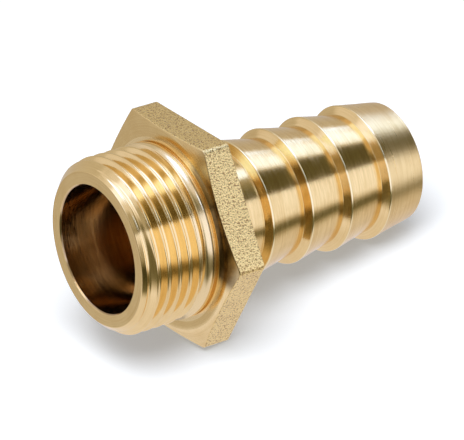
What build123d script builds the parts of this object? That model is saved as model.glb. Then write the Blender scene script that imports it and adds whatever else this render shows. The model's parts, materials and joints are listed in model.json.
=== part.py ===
from build123d import *
import os
from math import asin, atan2, cos, degrees, radians, sin, sqrt, tan

# Hose tail: a turned brass fitting with a parallel pipe thread at one end, a hexagon in the
# middle and a barbed spigot for a hose at the other.
#
# Millimetres. Along the fitting, every place is a distance from the face of the threaded end.
# It lies on a table as it comes to rest: the back edge of the hexagon's lower flat and the
# spigot touch the table, at Z = 0, and the threaded end points to -X, a little upwards.

# Thread: 3/4 in parallel pipe thread, 14 turns to the inch, 55 degree form
inch = 25.4
thread_major_d = 26.44
thread_turns_per_inch = 14
thread_depth = 1.16
thread_flank_angle = 27.5
thread_lead_in = 1.48
thread_face_d = 23.2

# Where the thread ends: a relief groove, then a plain collar, then a narrow neck groove
relief_start = 8.95
relief_width = 1.2
relief_flank_angle = 20.0
relief_clearance = 0.06
collar_width = 1.3
neck_groove_depth = 0.35

# Hexagon
hex_start = 11.75
hex_thickness = 4.85
hex_across_flats = 31.6
hex_corner_radius = 0.9
hex_facing_d = 30.8
hex_crown_radius = 70.0

# Barbed spigot
neck_d = 18.1
neck_chamfer = 0.4
barb_count = 4
barb_crest_d = 20.7
barb_root_d = 18.1
barb_pitch = 7.1
barb_face_length = 0.65
barb_root_bevel_length = 0.26
barb_root_bevel_height = 0.13
first_crest = 23.85
tip_length = 7.1
tip_d = 18.3
tip_chamfer = 0.3

# Bores
thread_bore_d = 19.2
thread_bore_depth = 14.0
bore_taper_angle = 59.0
tail_bore_d = 15.5
bore_edge_break = 0.2

# Sizes that follow
thread_pitch = inch / thread_turns_per_inch
thread_major_r = thread_major_d / 2
thread_minor_r = thread_major_r - thread_depth
thread_crest_flat = thread_pitch / 2 - thread_depth * tan(radians(thread_flank_angle))
thread_face_r = thread_face_d / 2
end_chamfer = thread_major_r - thread_face_r
relief_end = relief_start + relief_width
relief_depth = thread_depth + relief_clearance
relief_flank = relief_depth * tan(radians(relief_flank_angle))
collar_end = relief_end + collar_width
hex_end = hex_start + hex_thickness
hex_inner_r = hex_across_flats / 2
hex_facing_r = hex_facing_d / 2
hex_outer_r = hex_across_flats
crown_centre = hex_start + sqrt(hex_crown_radius**2 - hex_facing_r**2)
crown_start_angle = 180 - degrees(asin(hex_facing_r / hex_crown_radius))
crown_end_angle = 180 - degrees(asin(hex_outer_r / hex_crown_radius))
neck_r = neck_d / 2
barb_crest_r = barb_crest_d / 2
barb_root_r = barb_root_d / 2
tip_r = tip_d / 2
last_crest = first_crest + (barb_count - 1) * barb_pitch
tail_end = last_crest + tip_length
thread_bore_r = thread_bore_d / 2
tail_bore_r = tail_bore_d / 2
tail_bore_start = thread_bore_depth + (thread_bore_r - tail_bore_r) / tan(radians(bore_taper_angle))

# Attitude on the table: the fitting tips about the hexagon's back edge until the tip or the
# last crest touches, whichever comes first
tip_tilt = atan2(hex_inner_r - tip_r, tail_end - tip_chamfer - hex_end)
crest_tilt = atan2(hex_inner_r - barb_crest_r, last_crest - hex_end)
tilt = min(tip_tilt, crest_tilt)
axis_direction = Vector(cos(tilt), 0, -sin(tilt))
upward = Vector(sin(tilt), 0, cos(tilt))

# The origin is below the middle of the fitting's length and width, on the table
lowest_x = -thread_face_r * sin(tilt)
highest_x = tail_end * cos(tilt) + (tip_r - tip_chamfer) * sin(tilt)
end_face_height = hex_end * sin(tilt) + hex_inner_r * cos(tilt)
end_face_centre = Vector(-(lowest_x + highest_x) / 2, 0, end_face_height)

fitting_axis = Axis(end_face_centre, axis_direction)
section_plane = Plane(end_face_centre, x_dir=axis_direction, z_dir=upward)
end_plane = Plane(end_face_centre, x_dir=upward, z_dir=axis_direction)


# Outline of the turned fitting, from its threaded end: distance along it, and radius
outline = [
    (0, thread_face_r),
    (end_chamfer, thread_major_r),
    (relief_start, thread_major_r),
    (relief_start + relief_flank, thread_major_r - relief_depth),
    (relief_end - relief_flank, thread_major_r - relief_depth),
    (relief_end, thread_major_r),
    (collar_end, thread_major_r),
    (collar_end, thread_major_r - neck_groove_depth),
    (hex_end, thread_major_r - neck_groove_depth),
    (hex_end, neck_r + neck_chamfer),
    (hex_end + neck_chamfer, neck_r),
]
for barb in range(barb_count):
    crest = first_crest + barb * barb_pitch
    outline += [
        (crest - barb_face_length, barb_root_r),
        (crest - barb_face_length + barb_root_bevel_length, barb_root_r + barb_root_bevel_height),
        (crest, barb_crest_r),
    ]
outline += [(tail_end - tip_chamfer, tip_r), (tail_end, tip_r - tip_chamfer)]

with BuildPart() as hose_tail:
    # Turned blank, without its bores
    with BuildSketch(section_plane):
        with BuildLine():
            Polyline(*outline, (tail_end, 0), (0, 0), close=True)
        make_face()
    revolve(axis=fitting_axis)

    # Thread: one groove along a right-hand helix, from ahead of the end face into the relief
    # groove
    groove_end = relief_end - (thread_pitch - thread_crest_flat) / 2
    with BuildLine() as thread_path:
        Helix(
            pitch=thread_pitch,
            height=groove_end + thread_lead_in,
            radius=thread_major_r,
            center=end_face_centre - axis_direction * thread_lead_in,
            direction=axis_direction,
        )
    path_start = thread_path.line @ 0
    outward = path_start - (end_face_centre - axis_direction * thread_lead_in)
    groove_plane = Plane(path_start, x_dir=outward, z_dir=thread_path.line % 0)
    groove_top = thread_crest_flat
    groove_half_root = thread_crest_flat / 2
    groove_half_top = groove_half_root + (thread_depth + groove_top) * tan(radians(thread_flank_angle))
    with BuildSketch(groove_plane):
        Polygon(
            (-thread_depth, -groove_half_root),
            (-thread_depth, groove_half_root),
            (groove_top, groove_half_top),
            (groove_top, -groove_half_top),
            align=None,
        )
    sweep(path=thread_path.line, is_frenet=True, mode=Mode.SUBTRACT)

    # Hexagon, with rounded corners and its front face crowned outside the facing circle
    with BuildSketch(end_plane.offset(hex_start)) as hexagon:
        RegularPolygon(radius=hex_inner_r, side_count=6, major_radius=False, rotation=30)
        fillet(hexagon.vertices(), radius=hex_corner_radius)
    extrude(amount=hex_thickness)
    with BuildSketch(section_plane):
        with BuildLine():
            crown = CenterArc(
                center=(crown_centre, 0),
                radius=hex_crown_radius,
                start_angle=crown_start_angle,
                arc_size=crown_end_angle - crown_start_angle,
            )
            Polyline(crown @ 1, (hex_start, hex_outer_r), crown @ 0)
        make_face()
    revolve(axis=fitting_axis, mode=Mode.SUBTRACT)

    # Bores: a wide one from the threaded end and a narrower one through the spigot
    with BuildSketch(section_plane):
        with BuildLine():
            Polyline(
                (0, 0),
                (0, thread_bore_r + bore_edge_break),
                (bore_edge_break, thread_bore_r),
                (thread_bore_depth, thread_bore_r),
                (tail_bore_start, tail_bore_r),
                (tail_end - bore_edge_break, tail_bore_r),
                (tail_end, tail_bore_r + bore_edge_break),
                (tail_end, 0),
                close=True,
            )
        make_face()
    revolve(axis=fitting_axis, mode=Mode.SUBTRACT)

hose_tail.part.label = "hose_tail"

os.makedirs("parts", exist_ok=True)
export_step(hose_tail.part, "parts/hose_tail.step")
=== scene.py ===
import json
import logging
import math
from dataclasses import dataclass, field
from enum import Enum
from typing import Any, Callable, Dict, List, Optional, Sequence, Tuple, Union

import bpy
import numpy as np
from mathutils import Matrix, Vector


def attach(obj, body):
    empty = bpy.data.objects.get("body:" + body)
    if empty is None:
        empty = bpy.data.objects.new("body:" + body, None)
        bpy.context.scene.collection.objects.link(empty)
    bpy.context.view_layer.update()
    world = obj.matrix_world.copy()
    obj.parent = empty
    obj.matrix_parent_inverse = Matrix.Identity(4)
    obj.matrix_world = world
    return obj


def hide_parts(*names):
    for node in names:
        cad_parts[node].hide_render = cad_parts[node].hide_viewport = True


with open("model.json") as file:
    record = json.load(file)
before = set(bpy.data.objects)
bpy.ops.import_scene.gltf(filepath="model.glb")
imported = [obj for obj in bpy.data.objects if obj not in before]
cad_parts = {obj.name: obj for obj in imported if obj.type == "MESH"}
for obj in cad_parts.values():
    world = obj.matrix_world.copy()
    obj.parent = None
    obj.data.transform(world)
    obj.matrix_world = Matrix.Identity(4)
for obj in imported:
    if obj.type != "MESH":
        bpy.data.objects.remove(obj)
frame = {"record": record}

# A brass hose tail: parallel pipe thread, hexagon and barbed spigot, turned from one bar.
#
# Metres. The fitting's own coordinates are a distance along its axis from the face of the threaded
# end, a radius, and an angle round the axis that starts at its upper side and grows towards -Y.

log = logging.getLogger("hose_tail")

MM = 0.001
FULL_TURN = 2 * math.pi
Rows = Tuple[np.ndarray, np.ndarray]


class Skin(Enum):
    """The finishes on the fitting's surface, in the order of its material slots."""

    TURNED = 0
    THREAD = 1
    FACED = 2
    BLASTED = 3
    BORE = 4
    TAPER = 5
    STEP = 6
    TIP = 7
    GROOVE = 8
    RIM = 9


@dataclass(frozen=True)
class Attitude:
    """Where the fitting lies: the middle of its threaded end's face, and its own directions."""

    origin: np.ndarray
    along: np.ndarray
    upper: np.ndarray
    side: np.ndarray

    @classmethod
    def from_record(cls, record: Dict[str, Any], seat_distance: float) -> "Attitude":
        """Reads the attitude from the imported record's washer seat and upper flat.

        Args:
            record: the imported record, with its mounts.
            seat_distance: how far the washer seat lies from the face of the threaded end.

        Returns:
            The attitude on the table.
        """
        mounts = {mount["name"]: mount for mount in record["mounts"]}
        along = -np.array(mounts["washer_seat"]["axis"])
        upper = np.array(mounts["spanner_flat"]["axis"])
        origin = np.array(mounts["washer_seat"]["pos_m"]) - along * seat_distance
        return cls(origin, along, upper, np.array([0.0, -1.0, 0.0]))

    def place(self, distance: np.ndarray, radius: np.ndarray, angle: np.ndarray) -> np.ndarray:
        """Turns the fitting's own coordinates into points in space.

        Args:
            distance: distances along the axis.
            radius: radii, of the same shape.
            angle: angles round the axis, that broadcast to that shape.

        Returns:
            Points, with a last axis of three.
        """
        outward = np.cos(angle)[..., None] * self.upper + np.sin(angle)[..., None] * self.side
        return self.origin + distance[..., None] * self.along + radius[..., None] * outward


def rounded_outline(points: Sequence[Tuple[float, float, float]], steps: int = 3,
                    guard: float = 0.035 * MM) -> Rows:
    """Rounds the corners of an open outline with arcs.

    Each inner corner becomes an arc that touches both of its sides, with one guard point on each
    side next to it, which keeps the shading of the long faces flat. A corner of radius 0 stays.

    Args:
        points: distance, radius and corner radius of each corner.
        steps: segments in each arc.
        guard: distance from an arc to its guard points.

    Returns:
        The distances and the radii of the rounded outline's points.
    """
    corners = np.array([point[:2] for point in points])
    path: List[np.ndarray] = [corners[0]]
    for index in range(1, len(points) - 1):
        before, corner, after = corners[index - 1 : index + 2]
        incoming = (before - corner) / np.linalg.norm(before - corner)
        outgoing = (after - corner) / np.linalg.norm(after - corner)
        half_angle = math.acos(np.clip(incoming @ outgoing, -1, 1)) / 2
        round_radius = points[index][2]
        if round_radius == 0:
            path.append(corner)
            continue
        setback = round_radius / math.tan(half_angle)
        bisector = (incoming + outgoing) / np.linalg.norm(incoming + outgoing)
        centre = corner + bisector * round_radius / math.sin(half_angle)
        first = corner + incoming * setback - centre
        last = corner + outgoing * setback - centre
        turn = math.pi - 2 * half_angle
        share = np.linspace(0, 1, steps + 1)[:, None]
        arc = (np.sin((1 - share) * turn) * first + np.sin(share * turn) * last) / math.sin(turn)
        path.append(corner + incoming * (setback + guard))
        path.extend(centre + arc)
        path.append(corner + outgoing * (setback + guard))
    path.append(corners[-1])
    outline = np.array(path)
    return outline[:, 0], outline[:, 1]


@dataclass(frozen=True)
class Bands:
    """Rings of points, one row each, and the number of the finish of the band after each ring."""

    distance: np.ndarray
    radius: np.ndarray
    skins: np.ndarray

    @classmethod
    def of_rows(cls, rows: Rows, skin: Skin) -> "Bands":
        """Gives all the rings one finish."""
        return cls(*rows, np.full(len(rows[0]), skin.value))

    @classmethod
    def turned(cls, outline: Rows, columns: int, skins: np.ndarray) -> "Bands":
        """Turns an outline about the axis, without its two ends, which other bands hold.

        Args:
            outline: distances and radii of its points.
            columns: how many points a ring has.
            skins: the finish after each point between the ends.

        Returns:
            The bands.
        """
        one = np.ones((1, columns))
        return cls(*(line[1:-1, None] * one for line in outline), skins)

    @classmethod
    def joined(cls, parts: Sequence["Bands"]) -> "Bands":
        """Puts bands one after another."""
        columns = zip(*((part.distance, part.radius, part.skins) for part in parts))
        return cls(*(np.concatenate(rows) for rows in columns))


@dataclass
class Thread:
    """Parallel pipe thread, 3/4 in, 14 turns to the inch, in the 55 degree form."""

    crest_radius: float = 13.22 * MM
    pitch: float = 25.4 * MM / 14
    depth_share: float = 0.640327
    flank_angle: float = math.radians(27.5)
    crest_rounding: float = 0.13 * MM
    root_rounding: float = 0.368 * MM
    blend: float = 0.07 * MM
    first_crest: float = 1.239 * MM
    face_radius: float = 11.6 * MM
    relief_start: float = 8.95 * MM
    relief_end: float = 10.15 * MM
    relief_clearance: float = 0.06 * MM
    relief_flank: float = 0.44 * MM
    rows: int = 210

    @property
    def depth(self) -> float:
        """Depth of the groove, from crest to root."""
        return self.depth_share * self.pitch

    def groove_depth(self, distance: np.ndarray, angle: np.ndarray) -> np.ndarray:
        """Depth of the thread below its crests.

        Across one pitch the form is an arc over the crest, a straight flank and an arc in the
        root, and each crest moves one pitch along for one turn of a right-hand helix.

        Args:
            distance: distances along the axis.
            angle: angles round the axis.

        Returns:
            The depth at each place.
        """
        turns = (distance - self.first_crest) / self.pitch - angle / FULL_TURN
        from_crest = np.abs(turns - np.round(turns)) * self.pitch
        from_root = self.pitch / 2 - from_crest
        ball, hollow = self.crest_rounding, self.root_rounding
        crest = ball - np.sqrt(np.maximum(ball**2 - from_crest**2, 0))
        root = self.depth - hollow + np.sqrt(np.maximum(hollow**2 - from_root**2, 0))
        crest_width = ball * math.cos(self.flank_angle)
        root_width = hollow * math.cos(self.flank_angle)
        crest_depth = ball * (1 - math.sin(self.flank_angle))
        flank = crest_depth + (from_crest - crest_width) / math.tan(self.flank_angle)
        below = np.where(from_root < root_width, root, flank)
        return np.where(from_crest < crest_width, crest, below)

    def blended(self, first: np.ndarray, second: np.ndarray) -> np.ndarray:
        """The smaller of two radii, rounded off where they are nearly the same.

        Where they differ by less than the blend, a quarter of the blend is taken off, times the
        square of the share of the blend that they don't differ by.

        Args:
            first: radii.
            second: radii that broadcast to them.

        Returns:
            The blended radii, never above the smaller one.
        """
        near = np.maximum(1 - np.abs(first - second) / self.blend, 0)
        return np.minimum(first, second) - near**2 * self.blend / 4

    def surface(self, angle: np.ndarray) -> Rows:
        """The threaded end, from the outer edge of its face to the collar.

        The radius is the least of three: the end's chamfer, the thread and the relief groove.

        Args:
            angle: angles round the axis, one for each column.

        Returns:
            Distances and radii, one row for each ring of points.
        """
        distance = np.linspace(0, self.relief_end, self.rows)
        floor_radius = self.crest_radius - self.depth - self.relief_clearance
        relief = np.interp(
            distance,
            [0, self.relief_start, self.relief_start + self.relief_flank,
             self.relief_end - self.relief_flank, self.relief_end],
            [self.crest_radius, self.crest_radius, floor_radius, floor_radius, self.crest_radius],
        )
        chamfer = self.face_radius + distance
        grid, turned = np.broadcast_arrays(distance[:, None], angle[None, :])
        thread = self.crest_radius - self.groove_depth(grid, turned)
        radius = self.blended(thread, np.minimum(relief, chamfer)[:, None])
        radius[-1] = self.crest_radius
        radius[0] = self.face_radius
        return grid, radius


@dataclass
class Hexagon:
    """Spanner hexagon with rounded corners and a front face turned flat round the thread.

    The shares place its rings: from the facing circle out to the edge, from edge to edge along
    the sides, and from the edge in over the back face.
    """

    start: float = 11.75 * MM
    thickness: float = 4.85 * MM
    flat_radius: float = 15.8 * MM
    corner_rounding: float = 0.9 * MM
    facing_radius: float = 15.4 * MM
    crown_radius: float = 70 * MM
    edge_rounding: float = 0.09 * MM
    edge_guard: float = 0.04 * MM
    edge_steps: int = 4
    corner_columns: int = 7
    flat_columns: int = 36
    facing_rings: int = 3
    crown_shares: Tuple[float, ...] = (0.25, 0.5, 0.75, 0.93, 1.0)
    side_shares: Tuple[float, ...] = (0.0, 1 / 3, 2 / 3, 1.0)
    back_shares: Tuple[float, ...] = (0.03, 0.35, 0.7)

    @property
    def end(self) -> float:
        """Distance of the back face from the face of the threaded end."""
        return self.start + self.thickness

    @property
    def corner_centre(self) -> float:
        """Radius at which the middle of a corner's rounding lies."""
        return (self.flat_radius - self.corner_rounding) / math.cos(math.pi / 6)

    @property
    def touch(self) -> float:
        """Angle from the middle of a flat to where a corner's rounding starts."""
        return math.atan2(self.corner_centre / 2, self.flat_radius)

    def angles(self) -> np.ndarray:
        """Angles of the columns of points, closer together round the six corners.

        Returns:
            Angles over one turn, without the last, which is the first again.
        """
        touch, next_touch = self.touch, math.pi / 3 - self.touch
        along_flat = np.linspace(-touch, touch, self.flat_columns, endpoint=False)
        round_corner = np.linspace(touch, next_touch, self.corner_columns, endpoint=False)
        side = np.concatenate([along_flat, round_corner])
        return (side[None, :] + np.arange(6)[:, None] * math.pi / 3).ravel()

    def outer_radius(self, angle: np.ndarray) -> np.ndarray:
        """Radius of the six-sided outline with rounded corners.

        On a flat the radius is that of a straight line, and near a corner it is that of a circle
        of the corner's rounding about the point where the two tangents' offsets meet.

        Args:
            angle: angles round the axis.

        Returns:
            The radius at each angle.
        """
        sector = math.pi / 3
        from_flat = np.abs(angle - np.round(angle / sector) * sector)
        from_corner = sector / 2 - from_flat
        straight = self.flat_radius / np.cos(from_flat)
        across = self.corner_centre * np.sin(from_corner)
        rounded = self.corner_centre * np.cos(from_corner) + np.sqrt(
            np.maximum(self.corner_rounding**2 - across**2, 0)
        )
        return np.where(from_flat > self.touch, rounded, straight)

    def crown(self, radius: np.ndarray) -> np.ndarray:
        """How far the front face falls back at some radii, as part of a large ball."""
        flat = math.sqrt(self.crown_radius**2 - self.facing_radius**2)
        beyond = np.maximum(radius, self.facing_radius)
        return flat - np.sqrt(self.crown_radius**2 - beyond**2)

    def surface(self, angle: np.ndarray, inner_front: float,
                inner_back: float) -> Tuple[Rows, Rows, Rows]:
        """The hexagon's front face, its sides and its back face.

        Both edges between them are quarter circles.

        Args:
            angle: angles of the columns.
            inner_front: radius where the front face starts.
            inner_back: radius where the back face ends.

        Returns:
            Distances and radii of the rings on the front face, the sides and the back face.
        """
        outer = self.outer_radius(angle)[None, :]
        edge = self.edge_rounding
        share = np.array(self.crown_shares)[:, None]
        facing = np.linspace(inner_front, self.facing_radius, self.facing_rings + 1)[1:, None]
        outside = self.facing_radius + share * (outer - edge - self.facing_radius)
        front_radius = np.concatenate([facing * np.ones_like(outer), outside])
        front = (self.start + self.crown(front_radius), front_radius)
        quarter = np.linspace(0, math.pi / 2, self.edge_steps + 1)[:, None]
        front_edge = self.start + self.crown(outer)
        lead_radius = outer - edge * (1 - np.sin(quarter))
        lead_distance = front_edge + edge * (1 - np.cos(quarter))
        share = np.array(self.side_shares)[:, None]
        side_start = front_edge + edge + self.edge_guard
        side_end = self.end - edge - self.edge_guard
        side_distance = side_start + share * (side_end - side_start)
        side_radius = outer * np.ones_like(side_distance)
        trail_radius = outer - edge * (1 - np.cos(quarter))
        trail_distance = (self.end - edge * (1 - np.sin(quarter))) * np.ones_like(outer)
        sides = (
            np.concatenate([lead_distance[1:], side_distance, trail_distance]),
            np.concatenate([lead_radius[1:], side_radius, trail_radius]),
        )
        share = np.array(self.back_shares)[:, None]
        back_radius = (outer - edge) + share * (inner_back - outer + edge)
        back = (np.full_like(back_radius, self.end), back_radius)
        return front, sides, back


@dataclass
class Spigot:
    """Barbed spigot: a neck, then barbs that each rise steeply and fall away gently."""

    neck_radius: float = 9.05 * MM
    neck_rounding: float = 0.4 * MM
    crest_radius: float = 10.35 * MM
    barbs: int = 4
    first_crest: float = 23.85 * MM
    barb_pitch: float = 7.1 * MM
    face_length: float = 0.65 * MM
    root_rounding: float = 0.06 * MM
    crest_rounding: float = 0.22 * MM
    tip_radius: float = 9.15 * MM
    tip_length: float = 7.1 * MM
    tip_chamfer: float = 0.3 * MM
    tip_rounding: float = 0.08 * MM
    taper_sag: float = 0.05 * MM
    taper_steps: int = 5
    rim_depth: float = 0.1 * MM
    rim_step: float = 0.15 * MM

    @property
    def last_crest(self) -> float:
        """Distance of the last barb's crest."""
        return self.first_crest + (self.barbs - 1) * self.barb_pitch

    @property
    def end(self) -> float:
        """Distance of the spigot's end from the face of the threaded end."""
        return self.last_crest + self.tip_length

    def outline(self, start: float) -> List[Tuple[float, float, float]]:
        """Corners of the spigot's outline.

        Args:
            start: distance of the hexagon's back face.

        Returns:
            Distance, radius and rounding of each corner, from the neck to the tip's end face.
        """
        corners = [(start, self.neck_radius, self.neck_rounding)]
        for barb in range(self.barbs):
            crest = self.first_crest + barb * self.barb_pitch
            corners.append((crest - self.face_length, self.neck_radius, self.root_rounding))
            corners.append((crest, self.crest_radius, self.crest_rounding))
            last = barb == self.barbs - 1
            length = self.barb_pitch - self.face_length if not last else self.tip_length
            foot = self.tip_radius if last else self.neck_radius
            corners.extend(self.taper(crest, length, foot))
        corners.append((self.end - self.tip_chamfer, self.tip_radius, self.tip_rounding))
        corners.append((self.end, self.tip_radius - self.tip_chamfer, self.tip_rounding))
        return corners

    def taper(self, crest: float, length: float, foot: float) -> List[Tuple[float, float, float]]:
        """Points between a crest and the foot of its slope, which sags a little like a parabola.

        Args:
            crest: distance of the crest.
            length: how far the slope runs.
            foot: radius at its foot.

        Returns:
            Distance, radius and rounding of each point, the ends left out.
        """
        share = np.linspace(0, 1, self.taper_steps + 2)[1:-1]
        radius = self.crest_radius + share * (foot - self.crest_radius)
        radius = radius - 4 * self.taper_sag * share * (1 - share)
        return [(crest + part * length, float(place), 0.0) for part, place in zip(share, radius)]

    def skins(self, outline: Rows) -> np.ndarray:
        """The finish after each of an outline's points.

        A band that runs a short way beside a crest is its rim. Of the others, one that rises or
        falls more than it runs along is a step.

        Args:
            outline: distances and radii of its points.

        Returns:
            One finish for each point between the ends.
        """
        distance, radius = outline[0][1:], outline[1][1:]
        run, rise = np.diff(distance), np.diff(radius)
        gentle = np.where(distance[:-1] > self.last_crest, Skin.TIP.value, Skin.TAPER.value)
        plain = np.where(np.abs(rise) > np.abs(run), Skin.STEP.value, gentle)
        # The rim takes a paler brass, which is a painted highlight along each crest.
        on_crest = (run < self.rim_step) & (radius[:-1] > self.crest_radius - self.rim_depth)
        return np.where(on_crest, Skin.RIM.value, plain)


@dataclass
class Bore:
    """The passage: a wide bore from the threaded end, a cone and a narrower bore to the tip.

    The cone's roundings are those of its wide and its narrow end.
    """

    wide_radius: float = 9.6 * MM
    wide_depth: float = 14.0 * MM
    cone_angle: float = math.radians(59)
    narrow_radius: float = 7.75 * MM
    edge_break: float = 0.2 * MM
    edge_rounding: float = 0.05 * MM
    cone_rounding: Tuple[float, float] = (0.2 * MM, 0.15 * MM)

    def outline(self, end: float) -> List[Tuple[float, float, float]]:
        """Corners of the passage's outline, from the tip back to the threaded end.

        Args:
            end: distance of the tip's end face.

        Returns:
            Distance, radius and rounding of each corner.
        """
        narrowing = self.wide_radius - self.narrow_radius
        cone_end = self.wide_depth + narrowing / math.tan(self.cone_angle)
        return [
            (end, self.narrow_radius + self.edge_break, self.edge_rounding),
            (end - self.edge_break, self.narrow_radius, self.edge_rounding),
            (cone_end, self.narrow_radius, self.cone_rounding[1]),
            (self.wide_depth, self.wide_radius, self.cone_rounding[0]),
            (self.edge_break, self.wide_radius, self.edge_rounding),
            (0.0, self.wide_radius + self.edge_break, self.edge_rounding),
        ]


@dataclass
class Fitting:
    """The whole fitting, as one closed skin on a grid of rings and columns.

    The neck groove's edge is how far below the collar its finish starts, the facing's start and
    the face's guard are gaps between rings, and the mouth's margin is added to the wide bore.
    """

    thread: Thread = field(default_factory=Thread)
    hexagon: Hexagon = field(default_factory=Hexagon)
    spigot: Spigot = field(default_factory=Spigot)
    bore: Bore = field(default_factory=Bore)
    collar_end: float = 11.45 * MM
    collar_rounding: float = 0.1 * MM
    neck_groove_radius: float = 12.87 * MM
    neck_groove_rounding: float = 0.06 * MM
    neck_groove_edge: float = 0.15 * MM
    facing_start: float = 0.2 * MM
    face_guard: float = 0.1 * MM
    mouth_margin: float = 0.1 * MM
    face_tolerance: float = 0.01 * MM

    def threaded_end(self, angle: np.ndarray) -> List[Bands]:
        """The thread with its relief groove, and the collar with the neck groove.

        Args:
            angle: angles of the columns.

        Returns:
            The bands of both.
        """
        rows = self.thread.surface(angle)
        relief_wall = self.thread.relief_start + self.thread.relief_flank / 2
        in_relief = rows[0][:, 0] > relief_wall
        crest = self.thread.crest_radius
        collar = rounded_outline([
            (self.thread.relief_end, crest, 0),
            (self.collar_end, crest, self.collar_rounding),
            (self.collar_end, self.neck_groove_radius, self.neck_groove_rounding),
            (self.hexagon.start, self.neck_groove_radius, self.neck_groove_rounding),
            (self.hexagon.start, self.hexagon.facing_radius, 0),
        ])
        in_neck = collar[1][1:-1] < crest - self.neck_groove_edge
        # The grooves take a paler brass, which is painted light that lifts their dark.
        return [
            Bands(*rows, np.where(in_relief, Skin.GROOVE.value, Skin.THREAD.value)),
            Bands.turned(collar, angle.size,
                         np.where(in_neck, Skin.GROOVE.value, Skin.TURNED.value)),
        ]

    def faces(self, angle: np.ndarray) -> List[Bands]:
        """The hexagon's front face, sides and back face.

        Args:
            angle: angles of the columns.

        Returns:
            The bands of each.
        """
        rows = self.hexagon.surface(angle, self.neck_groove_radius + self.facing_start,
                                    self.spigot.neck_radius + self.spigot.neck_rounding)
        skins = (Skin.FACED, Skin.BLASTED, Skin.FACED)
        return [Bands.of_rows(face, skin) for face, skin in zip(rows, skins)]

    def tail(self, columns: int) -> Bands:
        """The spigot, from the hexagon's back face to the tip's end face.

        Args:
            columns: how many points a ring has.

        Returns:
            Its bands.
        """
        outline = rounded_outline(
            [(self.hexagon.end, self.hexagon.facing_radius, 0)]
            + self.spigot.outline(self.hexagon.end)
            + [(self.spigot.end, self.bore.narrow_radius + self.bore.edge_break, 0)]
        )
        return Bands.turned(outline, columns, self.spigot.skins(outline))

    def passage(self, columns: int) -> Bands:
        """The tip's end face, the bores and the face of the threaded end.

        Args:
            columns: how many points a ring has.

        Returns:
            Their bands.
        """
        face_radius = self.thread.face_radius
        outline = rounded_outline(
            [(self.spigot.end, self.spigot.tip_radius, 0)]
            + self.bore.outline(self.spigot.end)
            + [(0.0, face_radius - self.face_guard, 0), (0.0, face_radius, 0)]
        )
        inside = outline[1][1:-1] < self.bore.wide_radius + self.mouth_margin
        upright = np.abs(np.diff(outline[0][1:])) < self.face_tolerance
        skins = np.where(inside & ~upright, Skin.BORE.value, Skin.FACED.value)
        return Bands.turned(outline, columns, skins)

    def rings(self, angle: np.ndarray) -> Bands:
        """All the rings of the skin in order.

        The rings run out over the thread, the hexagon and the spigot, and back through the
        passage, so the last ring's neighbour is the first.

        Args:
            angle: angles of the columns.

        Returns:
            The bands of the whole skin.
        """
        return Bands.joined([
            *self.threaded_end(angle), *self.faces(angle),
            self.tail(angle.size), self.passage(angle.size),
        ])

    def mesh(self, attitude: Attitude) -> bpy.types.Object:
        """Builds the fitting as one closed mesh.

        The grid closes on itself both round the axis and from the passage's mouth to the thread's
        end face, so it has no seams, poles or open edges.

        Args:
            attitude: where the fitting lies.

        Returns:
            The fitting's object.
        """
        angle = self.hexagon.angles()
        rings = self.rings(angle)
        points = attitude.place(rings.distance, rings.radius, angle[None, :])
        count_rings, columns = rings.distance.shape
        index = np.arange(count_rings * columns).reshape(count_rings, columns)
        below = np.roll(index, -1, axis=0)
        quads = np.stack(
            [index, np.roll(index, -1, axis=1), np.roll(below, -1, axis=1), below], axis=-1
        ).reshape(-1, 4)
        mesh = bpy.data.meshes.new("hose_tail_skin")
        mesh.vertices.add(index.size)
        mesh.vertices.foreach_set("co", points.reshape(-1).astype(np.float32))
        mesh.loops.add(quads.size)
        mesh.loops.foreach_set("vertex_index", quads.reshape(-1).astype(np.int32))
        mesh.polygons.add(len(quads))
        mesh.polygons.foreach_set("loop_start", np.arange(0, quads.size, 4, dtype=np.int32))
        mesh.polygons.foreach_set("material_index",
                                  np.repeat(rings.skins, columns).astype(np.int32))
        mesh.polygons.foreach_set("use_smooth", np.ones(len(quads), dtype=bool))
        mesh.update(calc_edges=True)
        mesh.validate()
        item = bpy.data.objects.new("fitting_skin", mesh)
        bpy.context.scene.collection.objects.link(item)
        log.info("fitting_skin: %d rings, %d columns, %d faces", count_rings, columns, len(quads))
        return item


Value = Union["Signal", float]


def math_method(operation: str, reflected: bool = False) -> Callable[..., "Signal"]:
    """Makes a method of Signal that adds one Math node.

    Args:
        operation: the node's operation.
        reflected: whether the signal itself comes last, as in a reflected operator.

    Returns:
        The method, which takes the other values and returns the result.
    """

    def method(self: "Signal", *others: Value) -> "Signal":
        """Adds the Math node and returns its result."""
        values = (*others, self) if reflected else (self, *others)
        settings = {"operation": operation}
        return self.graph.node("ShaderNodeMath", settings, dict(enumerate(values))).out()

    return method


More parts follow.
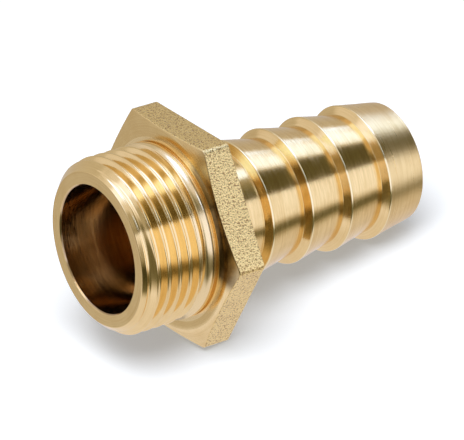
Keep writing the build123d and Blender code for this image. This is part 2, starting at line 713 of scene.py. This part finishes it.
class Signal:
    """A number on a node's output, with Python's operators as Math nodes."""

    __add__ = math_method("ADD")
    __radd__ = math_method("ADD", reflected=True)
    __sub__ = math_method("SUBTRACT")
    __rsub__ = math_method("SUBTRACT", reflected=True)
    __mul__ = math_method("MULTIPLY")
    __rmul__ = math_method("MULTIPLY", reflected=True)
    __truediv__ = math_method("DIVIDE")
    __rtruediv__ = math_method("DIVIDE", reflected=True)
    __pow__ = math_method("POWER")
    __abs__ = math_method("ABSOLUTE")
    at_most = math_method("MINIMUM")
    at_least = math_method("MAXIMUM")
    arc_sine = math_method("ARCSINE")
    bearing = math_method("ARCTAN2")
    root = math_method("SQRT")

    def __init__(self, graph: "Graph", socket: bpy.types.NodeSocket) -> None:
        """Wraps an output socket of a node tree."""
        self.graph = graph
        self.socket = socket

    def __neg__(self) -> "Signal":
        """The value with its sign changed."""
        return self * -1.0

    def clamped(self) -> "Signal":
        """The value held between 0 and 1."""
        return self.at_least(0.0).at_most(1.0)

    def ramp(self, low: float, high: float) -> "Signal":
        """A smooth rise from 0 at low to 1 at high.

        Args:
            low: the value that gives 0.
            high: the value that gives 1.

        Returns:
            The share, from 0 to 1.
        """
        settings = {"interpolation_type": "SMOOTHSTEP"}
        inputs = {"Value": self, "From Min": low, "From Max": high, "To Min": 0.0, "To Max": 1.0}
        return self.graph.node("ShaderNodeMapRange", settings, inputs).out()


class Node:
    """A node, with its outputs at hand."""

    def __init__(self, graph: "Graph", node: bpy.types.Node) -> None:
        """Wraps a node of a node tree."""
        self.graph = graph
        self.node = node

    def out(self, name: Union[int, str] = 0) -> Signal:
        """The node's output of a given name or place."""
        return Signal(self.graph, self.node.outputs[name])


class Graph:
    """A material's or world's node tree, emptied and filled through one method."""

    def __init__(self, tree: bpy.types.NodeTree) -> None:
        """Empties a node tree."""
        self.tree = tree
        tree.nodes.clear()

    def node(self, kind: str, settings: Optional[Dict[str, Any]] = None,
             inputs: Optional[Dict[Union[int, str], Any]] = None) -> Node:
        """Adds a node.

        Args:
            kind: the node's type.
            settings: the node's own properties, set before its sockets.
            inputs: a value or a link for each socket, by name or place.

        Returns:
            The wrapped node.
        """
        node = self.tree.nodes.new(kind)
        for name, value in (settings or {}).items():
            setattr(node, name, value)
        for name, value in (inputs or {}).items():
            socket = node.inputs[name]
            if isinstance(value, Signal):
                self.tree.links.new(value.socket, socket)
            else:
                socket.default_value = value
        return Node(self, node)

    def mix(self, share: Value, first: Any, second: Any) -> Signal:
        """Mixes two colours or their signals, with a share of the second."""
        settings = {"data_type": "RGBA", "blend_type": "MIX"}
        return self.node("ShaderNodeMix", settings, {0: share, 6: first, 7: second}).out(2)

    def noise(self, place: Signal, scale: float, detail: float, roughness: float) -> Signal:
        """Noise about 0.5, with scale cells in a metre and as many finer layers as its detail."""
        inputs = {"Vector": place, "Scale": scale, "Detail": detail, "Roughness": roughness}
        return self.node("ShaderNodeTexNoise", {"noise_dimensions": "3D"}, inputs).out("Fac")


Colour = Tuple[float, float, float, float]

# The middle value of noise, and how much a ring's pattern moves on along the axis and outwards
NOISE_MIDDLE = 0.5
ALONG_SHARE, OUT_SHARE = 0.9, 1.1


@dataclass(frozen=True)
class Place:
    """Where a point of the surface is, in the fitting's own coordinates, as shader signals."""

    graph: Graph
    local: Signal
    axial: Signal
    radius: Signal
    rings: Signal

    @classmethod
    def on_fitting(cls, graph: Graph, attitude: Attitude, ring_drift: float) -> "Place":
        """Reads the place from Object coordinates.

        Args:
            graph: the material's node tree.
            attitude: where the fitting lies.
            ring_drift: how far a ring's pattern moves on round the axis; less makes longer rings.

        Returns:
            The place. Its rings vector changes quickly along the outline and slowly round the axis.
        """
        tilt = math.atan2(-attitude.along[2], attitude.along[0])
        frame_rows = np.array([attitude.along, [0.0, 1.0, 0.0], attitude.upper])
        shift = -frame_rows @ attitude.origin
        local = graph.node("ShaderNodeMapping", {"vector_type": "POINT"}, {
            "Vector": graph.node("ShaderNodeTexCoord").out("Object"),
            "Location": tuple(shift),
            "Rotation": (0.0, -tilt, 0.0),
        }).out()
        parts = graph.node("ShaderNodeSeparateXYZ", None, {0: local})
        axial, across, height = parts.out("X"), parts.out("Y"), parts.out("Z")
        radius = (across * across + height * height).root()
        outline = axial * ALONG_SHARE + radius * OUT_SHARE
        rings = graph.node("ShaderNodeCombineXYZ", None, {
            "X": outline,
            "Y": across * ring_drift / radius,
            "Z": height * ring_drift / radius,
        }).out()
        return cls(graph, local, axial, radius, rings)

    def side(self) -> Tuple[Signal, Signal]:
        """The place across the fitting and its height above the axis."""
        parts = self.graph.node("ShaderNodeSeparateXYZ", None, {0: self.local})
        return parts.out("Y"), parts.out("Z")

    def grain(self, scale: float, detail: float = 2.0, roughness: float = 0.5) -> Signal:
        """Noise of one size every way, with scale cells in a metre."""
        return self.graph.noise(self.local, scale, detail, roughness)

    def drawn(self, scale: float, detail: float = 2.0, roughness: float = 0.5) -> Signal:
        """Noise drawn out into rings round the axis, with scale cells in a metre of outline."""
        return self.graph.noise(self.rings, scale, detail, roughness)


@dataclass(frozen=True)
class Brass:
    """Brass cut by a turning tool: fine rings round the axis, a little wear and tarnish.

    The rings are noise drawn out round the axis. Their height is in metres, so the slopes that
    they give the surface are real ones. A cloud's scale is in cells to a metre, and a streak's
    cells are those in a ring's width. The ranges say where stains start and are full.
    """

    name: str
    colour: Colour = (0.90, 0.67, 0.30, 1.0)
    dark_colour: Colour = (0.70, 0.46, 0.16, 1.0)
    roughness: float = 0.12
    roughness_spread: float = 0.10
    ring_width: float = 0.16 * MM
    ring_height: float = 0.004 * MM
    wide_ring_width: float = 0.7 * MM
    wide_ring_height: float = 0.006 * MM
    ring_drift: float = 0.35 * MM
    grain_width: float = 0.2 * MM
    grain_height: float = 0.0
    stain: float = 0.35
    cloud_scale: float = 260.0
    cloud_range: Tuple[float, float] = (0.35, 0.75)
    cloud_share: float = 0.5
    streak_cells: float = 0.6
    streak_range: Tuple[float, float] = (0.35, 0.7)
    sheen_cells: float = 0.35

    def height(self, place: Place) -> Signal:
        """The surface's relief.

        Args:
            place: the place on the fitting.

        Returns:
            Height in metres.
        """
        fine = place.drawn(1 / self.ring_width, detail=3.0, roughness=0.6)
        wide = place.drawn(1 / self.wide_ring_width, detail=1.0)
        relief = fine * self.ring_height + wide * self.wide_ring_height
        if self.grain_height == 0:
            return relief
        return relief + place.grain(1 / self.grain_width) * self.grain_height

    def tone(self, place: Place) -> Signal:
        """How dark and stained the surface is.

        Args:
            place: the place on the fitting.

        Returns:
            Share of the dark colour, from 0 to 1.
        """
        cloud = place.grain(self.cloud_scale, detail=3.0, roughness=0.6)
        streak = place.drawn(self.streak_cells / self.ring_width, roughness=0.6)
        return (cloud.ramp(*self.cloud_range) * self.cloud_share
                + streak.ramp(*self.streak_range) * (1 - self.cloud_share)) * self.stain

    def sheen(self, place: Place) -> Signal:
        """The surface's roughness, which varies from ring to ring."""
        streak = place.drawn(self.sheen_cells / self.ring_width, roughness=0.6)
        return self.roughness + (streak - NOISE_MIDDLE) * self.roughness_spread

    def paint(self, place: Place) -> Signal:
        """The surface's colour: its own where clean, and the dark one where stained."""
        return place.graph.mix(self.tone(place), self.colour, self.dark_colour)

    def material(self, attitude: Attitude) -> bpy.types.Material:
        """Makes the material.

        Args:
            attitude: where the fitting lies, for patterns that follow its axis.

        Returns:
            The material.
        """
        material = bpy.data.materials.new(self.name)
        material.use_nodes = True
        graph = Graph(material.node_tree)
        place = Place.on_fitting(graph, attitude, self.ring_drift)
        bump = graph.node("ShaderNodeBump", None, {
            "Strength": 1.0, "Distance": 1.0, "Height": self.height(place),
        }).out("Normal")
        shader = graph.node("ShaderNodeBsdfPrincipled", None, {
            "Base Color": self.paint(place),
            "Metallic": 1.0,
            "Roughness": self.sheen(place),
            "Normal": bump,
        })
        graph.node("ShaderNodeOutputMaterial", None, {"Surface": shader.out()})
        return material


@dataclass(frozen=True)
class BlastedBrass(Brass):
    """Brass left grainy by shot: shallow pits all over, bright on their rims."""

    colour: Colour = (1.0, 0.765, 0.31, 1.0)
    dark_colour: Colour = (0.42, 0.25, 0.09, 1.0)
    cloud_scale: float = 300.0
    cloud_share: float = 0.2
    pit_size: float = 0.26 * MM
    pit_height: float = 0.1 * MM
    pit_range: Tuple[float, float] = (0.5, 0.36)

    def pits(self, place: Place) -> Signal:
        """The pattern of the pits, low in a pit."""
        return place.grain(1 / self.pit_size, detail=3.0, roughness=0.55)

    def height(self, place: Place) -> Signal:
        """The surface's relief: pits of one size, with finer grain in them."""
        return self.pits(place) * self.pit_height

    def tone(self, place: Place) -> Signal:
        """How dark the surface is: darker where it is low."""
        depth = self.pits(place).ramp(*self.pit_range)
        cloud = place.grain(self.cloud_scale)
        return (depth * (1 - self.cloud_share) + cloud * self.cloud_share) * self.stain

    def sheen(self, place: Place) -> Signal:
        """The surface's roughness: even, with a little speckle."""
        speckle = place.grain(2 / self.pit_size)
        return self.roughness + (speckle - NOISE_MIDDLE) * self.roughness_spread


@dataclass(frozen=True)
class FacedBrass(Brass):
    """Brass turned flat, with a patch of painted shade beside the collar on one side."""

    # Painted shade: where the dark patch beside the collar lies, and how it fades.
    painted_shade_colour: Colour = (0.07, 0.04, 0.016, 1.0)
    painted_shade_inner: Tuple[float, float] = (12.6 * MM, 12.8 * MM)
    painted_shade_outer: Tuple[float, float] = (19.5 * MM, 15.5 * MM)
    painted_shade_bearing: float = math.radians(14)
    painted_shade_core: float = math.radians(20)
    painted_shade_fade: float = math.radians(9)
    painted_shade_tail: float = math.radians(42)
    painted_shade_tail_share: float = 0.72
    painted_shade_end: Tuple[float, float] = (14 * MM, 13 * MM)
    streak_scale: float = 900.0
    streak_floor: float = 0.7
    streak_gain: float = 0.4

    def paint(self, place: Place) -> Signal:
        """The colour, with the painted shade: dark in its middle, and a paler tail upwards.

        Args:
            place: the place on the fitting.

        Returns:
            The colour.
        """
        across, height = place.side()
        aside = height.bearing(-across) - self.painted_shade_bearing
        middle = abs(aside).ramp(self.painted_shade_core + self.painted_shade_fade, self.painted_shade_core)
        tail = (aside.ramp(-self.painted_shade_fade, self.painted_shade_fade)
                * aside.ramp(self.painted_shade_tail + self.painted_shade_fade, self.painted_shade_tail))
        share = middle.at_least(tail * self.painted_shade_tail_share)
        share = share * place.radius.ramp(*self.painted_shade_outer) * place.radius.ramp(*self.painted_shade_inner)
        share = share * place.axial.ramp(*self.painted_shade_end)
        streaks = self.streak_floor + place.grain(self.streak_scale) * self.streak_gain
        # The dark patch mixed in here is painted shade, broken up by fine streaks.
        return place.graph.mix(share * streaks.clamped(), super().paint(place), self.painted_shade_colour)


@dataclass(frozen=True)
class BoredBrass(Brass):
    """Brass bored out, with coarser tool marks where the tool went in.

    A scratched patch low inside the mouth is paler there: a painted glint.
    """

    chatter_range: Tuple[float, float] = (7.0 * MM, 2.0 * MM)
    chatter: float = 5.0
    # The scratched patch: its place and size, its bump, and its paler colour, which is a painted
    # glint.
    scuff_and_glint_place: Tuple[float, float, float] = (1.0 * MM, 4.7 * MM, -8.3 * MM)
    scuff_and_glint_range: Tuple[float, float] = (2.6 * MM, 1.04 * MM)
    scuff_grain: float = 0.25 * MM
    scuff_height: float = 0.045 * MM
    painted_glint_colour: Colour = (1.0, 0.64, 0.25, 1.0)

    def scuff_and_glint(self, place: Place) -> Signal:
        """Share of the scratched patch inside the mouth, whose paler colour is a painted glint."""
        away = place.graph.node("ShaderNodeVectorMath", {"operation": "DISTANCE"},
                                {0: place.local, 1: self.scuff_and_glint_place}).out("Value")
        return away.ramp(*self.scuff_and_glint_range)

    def height(self, place: Place) -> Signal:
        """The surface's relief: a turned surface's rings, deeper near the mouth, and the scuff.

        Args:
            place: the place on the fitting.

        Returns:
            Height in metres.
        """
        near_mouth = place.axial.ramp(*self.chatter_range)
        rings = super().height(place) * (1.0 + near_mouth * self.chatter)
        scratches = place.grain(1 / self.scuff_grain, roughness=0.6)
        return rings + scratches * self.scuff_height * self.scuff_and_glint(place)

    def paint(self, place: Place) -> Signal:
        """The surface's colour, paler where the patch is scratched: a painted glint."""
        # The paler colour mixed in here is a painted glint.
        return place.graph.mix(self.scuff_and_glint(place), super().paint(place), self.painted_glint_colour)


@dataclass(frozen=True)
class View:
    """A camera far off with a long lens, held slightly askew."""

    position: Tuple[float, float, float] = (-0.26255, -0.44205, 0.33048)
    azimuth: float = math.radians(-30.477)
    elevation: float = math.radians(31.807)
    roll: float = math.radians(-10.011)
    focal_length: float = 319.4
    sensor_width: float = 36.0
    clip_start: float = 0.01

    def camera(self) -> bpy.types.Object:
        """Sets up the camera.

        Returns:
            The camera object.
        """
        level = math.cos(self.elevation)
        back = Vector((math.sin(self.azimuth) * level, -math.cos(self.azimuth) * level,
                       math.sin(self.elevation)))
        right = Vector((math.cos(self.azimuth), math.sin(self.azimuth), 0))
        up = back.cross(right)
        turn = Matrix((right, up, back)).transposed() @ Matrix.Rotation(self.roll, 3, "Z")
        data = bpy.data.cameras.new("camera")
        data.lens = self.focal_length
        data.sensor_width = self.sensor_width
        data.clip_start = self.clip_start
        camera = bpy.data.objects.new("camera", data)
        camera.matrix_world = Matrix.Translation(self.position) @ turn.to_4x4()
        bpy.context.scene.collection.objects.link(camera)
        bpy.context.scene.camera = camera
        return camera


@dataclass(frozen=True)
class Heading:
    """A direction in the studio, as shader signals."""

    east: Signal
    north: Signal
    up: Signal
    elevation: Signal

    @classmethod
    def of_world(cls, graph: Graph) -> "Heading":
        """Reads the direction that the world is looked up in.

        Args:
            graph: the world's node tree.

        Returns:
            The direction.
        """
        heading = graph.node("ShaderNodeTexCoord").out("Generated")
        parts = graph.node("ShaderNodeSeparateXYZ", None, {0: heading})
        up = parts.out("Z")
        return cls(parts.out("X"), parts.out("Y"), up, up.arc_sine())

    def faced(self, facing: float) -> Tuple[Signal, Signal]:
        """How far the direction points along a bearing, and how far to its left."""
        ahead = self.east * math.cos(facing) + self.north * math.sin(facing)
        across = self.north * math.cos(facing) - self.east * math.sin(facing)
        return ahead, across

    def aside(self, facing: float) -> Signal:
        """The angle round the upright from a bearing, from -pi to pi."""
        ahead, across = self.faced(facing)
        return across.bearing(ahead)


@dataclass(frozen=True)
class Panel:
    """A soft white panel in the studio, by the directions in which it is seen, in degrees."""

    facing: float
    core: float
    fade: float
    low: float
    high: float
    level: float
    lean: float = 0.0
    end_fade: float = 10

    def light(self, heading: Heading) -> Signal:
        """The panel's level in a direction, or the share of the light that a flag takes away.

        Args:
            heading: the direction.

        Returns:
            Its level over the core, falling to 0 over the fade on each side.
        """
        facing, core, fade, low, high, end_fade = (math.radians(angle) for angle in (
            self.facing, self.core, self.fade, self.low, self.high, self.end_fade))
        aside = abs(heading.aside(facing) + heading.elevation * self.lean)
        sides = aside.ramp(core + fade, core)
        bottom = heading.elevation.ramp(low - end_fade, low + end_fade)
        top = heading.elevation.ramp(high + end_fade, high - end_fade)
        return sides * bottom * top * self.level


@dataclass(frozen=True)
class Disc:
    """A round soft source overhead, by the direction of its middle."""

    azimuth: float = math.radians(100)
    elevation: float = math.radians(80)
    core: float = math.radians(17)
    fade: float = math.radians(9)
    level: float = 2.6

    def light(self, heading: Heading) -> Signal:
        """The disc's strength in a direction.

        Args:
            heading: the direction.

        Returns:
            Its level over the core, falling to 0 over the fade.
        """
        level = math.cos(self.elevation)
        nearness = (heading.east * (math.cos(self.azimuth) * level)
                    + heading.north * (math.sin(self.azimuth) * level)
                    + heading.up * math.sin(self.elevation))
        return nearness.ramp(math.cos(self.core + self.fade), math.cos(self.core)) * self.level


@dataclass(frozen=True)
class Board:
    """A white board with a straight upper edge, standing on the floor."""

    facing: float = math.radians(-105)
    height: float = math.radians(37.5)
    edge: float = 0.015
    level: float = 1.19
    far_level: float = 1.02
    far_side: Tuple[float, float] = (0.5, 0.9)

    def light(self, heading: Heading) -> Signal:
        """The board's strength in a direction: 0 above its edge, and less on its far side.

        Args:
            heading: the direction.

        Returns:
            Its level.
        """
        ahead, across = heading.faced(self.facing)
        below = ahead * math.sin(self.height) - heading.up * math.cos(self.height)
        far = (-across).ramp(*self.far_side)
        level = self.level + far * (self.far_level - self.level)
        return below.ramp(-self.edge, self.edge) * level


@dataclass(frozen=True)
class Gap:
    """The dark strip of floor between the sheet that the fitting lies on and the board."""

    facing: float = math.radians(-100)
    reach: float = math.radians(108)
    reach_fade: float = math.radians(8)
    lower: float = math.radians(-38.5)
    upper: float = math.radians(-23)
    far_turn: float = math.radians(-60)
    far_slant: float = 0.25
    near_turn: float = math.radians(-32)
    near_slant: float = 0.33
    foot_turn: float = math.radians(-142)
    foot_slant: float = 0.4
    edge: float = math.radians(6)
    darkness: float = 0.86

    def shade(self, heading: Heading) -> Signal:
        """How much of the light the gap takes away in a direction.

        Its upper edge rises beyond one bearing. Its lower edge falls beyond another on the near
        side and rises on the far side.

        Args:
            heading: the direction.

        Returns:
            A share, from 0 to the gap's darkness.
        """
        aside = heading.aside(self.facing)
        beyond_far = (self.far_turn - self.facing - aside).at_least(0.0)
        beyond_near = (aside - (self.near_turn - self.facing)).at_least(0.0)
        beyond_foot = (self.foot_turn - self.facing - aside).at_least(0.0)
        over = heading.elevation - beyond_far * self.far_slant
        under = heading.elevation + beyond_near * self.near_slant - beyond_foot * self.foot_slant
        below_top = over.ramp(self.upper + self.edge, self.upper - self.edge)
        above_foot = under.ramp(self.lower - self.edge, self.lower + self.edge)
        within = abs(aside).ramp(self.reach + self.reach_fade, self.reach)
        return below_top * above_foot * within * self.darkness


@dataclass(frozen=True)
class Lamp:
    """A square soft lamp that faces the fitting."""

    name: str = "key_lamp"
    direction: Tuple[float, float, float] = (-0.2, -0.3, 1.0)
    distance: float = 0.8
    size: float = 0.6
    power: float = 6.5

    def hang(self) -> bpy.types.Object:
        """Adds the lamp to the scene.

        Returns:
            The lamp.
        """
        data = bpy.data.lights.new(self.name, "AREA")
        data.shape = "SQUARE"
        data.size = self.size
        data.energy = self.power
        lamp = bpy.data.objects.new(self.name, data)
        heading = Vector(self.direction).normalized()
        lamp.matrix_world = (Matrix.Translation(heading * self.distance)
                             @ heading.to_track_quat("Z", "Y").to_matrix().to_4x4())
        lamp.visible_glossy = False
        bpy.context.scene.collection.objects.link(lamp)
        return lamp


@dataclass(frozen=True)
class Studio:
    """A pale floor, a studio of white boards and soft panels, and a soft lamp.

    The brighter a part of the studio, the whiter it is against the warm room: red levels off
    first, green later, and blue grows faster than the strength.
    """

    floor_size: float = 3.0
    floor_colour: Colour = (0.80, 0.83, 0.88, 1.0)
    floor_glow: float = 0.3
    plain_level: float = 0.25
    room_level: float = 0.1
    ceiling_level: float = 0.8
    ceiling: Tuple[float, float] = (math.radians(30), math.radians(66))
    sheet_level: float = 0.77
    sheet: Tuple[float, float] = (math.radians(-20), math.radians(-36))
    red_gain: float = 1.09
    red_top: float = 1.3
    green_top: float = 2.2
    blue_top: float = 4.0
    blue_gain: float = 1.2
    blue_growth: float = 1.37
    knee: float = 3.0
    lamp: Lamp = Lamp()
    board: Board = Board()
    gap: Gap = Gap()
    disc: Disc = Disc()
    panels: Tuple[Panel, ...] = (
        Panel(28, 6, 10, -20, 64, 2.0, lean=0.6),
        Panel(28, 10, 8, 44, 66, 2.6, lean=0.6, end_fade=5),
        Panel(33, 4, 12, 0, 60, 1.1, lean=0.5),
        Panel(-61, 7, 4, 34, 56, 2.1, end_fade=3),
        Panel(23, 7, 5, -3, 20, 5.0, end_fade=7),
        Panel(159, 10, 17, 15, 75, 1.4),
        Panel(163, 9, 6, 30, 40, 2.8, end_fade=4),
        Panel(132, 14, 10, -5, 45, 0.75),
        Panel(-172, 13, 12, 15, 50, 0.42),
        Panel(110, 75, 14, 38, 75, 0.8),
        Panel(92, 58, 14, -50, 75, 0.53),
    )
    flags: Tuple[Panel, ...] = (
        Panel(-143, 5, 4, -30, 24, 0.72),
        Panel(-112, 37, 9, 38, 57, 0.5, end_fade=4),
    )

    def floor(self) -> bpy.types.Object:
        """Lays the floor, a flat sheet at the height of the table.

        Returns:
            The floor.
        """
        half = self.floor_size / 2
        corners = [(-half, -half, 0), (half, -half, 0), (half, half, 0), (-half, half, 0)]
        mesh = bpy.data.meshes.new("floor")
        mesh.from_pydata(corners, [], [(0, 1, 2, 3)])
        floor = bpy.data.objects.new("floor", mesh)
        bpy.context.scene.collection.objects.link(floor)
        material = bpy.data.materials.new("white_floor")
        material.use_nodes = True
        graph = Graph(material.node_tree)
        path = graph.node("ShaderNodeLightPath")
        seen = path.out("Is Camera Ray").at_least(path.out("Is Glossy Ray"))
        diffuse = graph.node("ShaderNodeBsdfDiffuse", None, {"Color": self.floor_colour})
        glow = graph.node("ShaderNodeEmission", None, {
            "Color": (1, 1, 1, 1), "Strength": seen * self.floor_glow,
        })
        both = graph.node("ShaderNodeAddShader", None, {0: diffuse.out(), 1: glow.out()})
        graph.node("ShaderNodeOutputMaterial", None, {"Surface": both.out()})
        mesh.materials.append(material)
        floor.visible_glossy = False
        return floor

    def world(self) -> None:
        """Fills the world: white where it is seen, and a studio's panels where metal mirrors it.

        Light that has bounced off a matt surface finds a plain level instead. Each channel of
        what is mirrored levels off in its own way.
        """
        world = bpy.data.worlds.new("studio")
        bpy.context.scene.world = world
        world.use_nodes = True
        graph = Graph(world.node_tree)
        path = graph.node("ShaderNodeLightPath")
        direct = 1.0 - path.out("Diffuse Depth").clamped()
        seen, glossy = path.out("Is Camera Ray"), path.out("Is Glossy Ray") * direct
        plain = (1.0 - seen - glossy).at_least(0.0) * self.plain_level
        mirrored = self.mirrored(graph)
        tints = (self.levelled(mirrored, self.red_gain, self.red_top),
                 self.levelled(mirrored, 1.0, self.green_top),
                 self.levelled(mirrored**self.blue_growth, self.blue_gain, self.blue_top))
        channels = [seen + plain + glossy * tint for tint in tints]
        colour = graph.node("ShaderNodeCombineColor", None, dict(enumerate(channels))).out()
        sky = graph.node("ShaderNodeBackground", None, {"Color": colour})
        graph.node("ShaderNodeOutputWorld", None, {"Surface": sky.out()})

    def levelled(self, strength: Signal, gain: float, top: float) -> Signal:
        """The gain times s / (1 + (s / top)^knee)^(1 / knee), for a strength s."""
        return strength * gain / (1.0 + (strength / top) ** self.knee) ** (1 / self.knee)

    def mirrored(self, graph: Graph) -> Signal:
        """What polished metal sees round it: a dark room with white boards and soft panels.

        Args:
            graph: the world's node tree.

        Returns:
            The strength in each direction.
        """
        heading = Heading.of_world(graph)
        rise = heading.elevation.ramp(*self.ceiling)
        level = self.room_level + rise * (self.ceiling_level - self.room_level)
        for source in (*self.panels, self.disc, self.board):
            level = level.at_least(source.light(heading))
        level = level + (self.sheet_level - level) * heading.elevation.ramp(*self.sheet)
        for flag in self.flags:
            level = level * (1.0 - flag.light(heading))
        return level * (1.0 - self.gap.shade(heading))

    def light(self) -> None:
        """Sets the world and the lamp."""
        self.world()
        self.lamp.hang()


FINISHES: Tuple[Brass, ...] = (
    Brass("brass_turned"),
    Brass("brass_thread", colour=(0.97, 0.74, 0.36, 1.0), roughness=0.13,
          ring_height=0.002 * MM, wide_ring_height=0.002 * MM),
    FacedBrass("brass_faced", colour=(0.88, 0.67, 0.32, 1.0), roughness=0.17,
               ring_height=0.004 * MM, roughness_spread=0.16, stain=0.5),
    BlastedBrass("brass_blasted", roughness=0.18, stain=1.0),
    # The bore's darker brass is painted shade, standing in for the shade deep in the passage.
    BoredBrass("brass_bore", colour=(0.73, 0.54, 0.31, 1.0), dark_colour=(0.48, 0.32, 0.15, 1.0),
               roughness=0.15, ring_width=0.2 * MM, ring_height=0.006 * MM, stain=0.9),
    Brass("brass_taper", roughness=0.18, ring_height=0.012 * MM, ring_width=0.12 * MM,
          wide_ring_height=0.01 * MM, grain_width=0.25 * MM, grain_height=0.004 * MM,
          roughness_spread=0.2, stain=0.7),
    # The steps' slightly paler brass is painted light, brightening their reflections.
    Brass("brass_step", colour=(0.93, 0.70, 0.33, 1.0), roughness=0.12, roughness_spread=0.12,
          stain=0.5),
    Brass("brass_tip", roughness=0.29, ring_height=0.008 * MM, ring_width=0.14 * MM,
          grain_width=0.22 * MM, grain_height=0.022 * MM, stain=0.75),
    # The grooves' paler brass is painted light, lifting the dark of their many reflections.
    Brass("brass_groove", colour=(0.97, 0.77, 0.42, 1.0), dark_colour=(0.85, 0.62, 0.3, 1.0),
          roughness=0.2, ring_height=0.002 * MM, wide_ring_height=0.002 * MM),
    # The crests' rim of paler brass is a painted highlight along each crest.
    Brass("brass_rim", colour=(1.0, 0.84, 0.48, 1.0), roughness=0.14, ring_height=0.004 * MM,
          stain=0.2),
)


def main() -> None:
    """Builds the fitting, dresses it and sets the studio round it."""
    logging.basicConfig(level=logging.INFO, format="%(name)s: %(message)s")
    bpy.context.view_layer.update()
    fitting = Fitting()
    attitude = Attitude.from_record(frame["record"], fitting.hexagon.start)
    skin = fitting.mesh(attitude)
    for finish in FINISHES:
        skin.data.materials.append(finish.material(attitude))
    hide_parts("hose_tail")
    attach(skin, "root")
    View().camera()
    studio = Studio()
    studio.floor()
    studio.light()
    bpy.context.scene.view_settings.view_transform = "Standard"


if __name__ == "__main__":
    main()
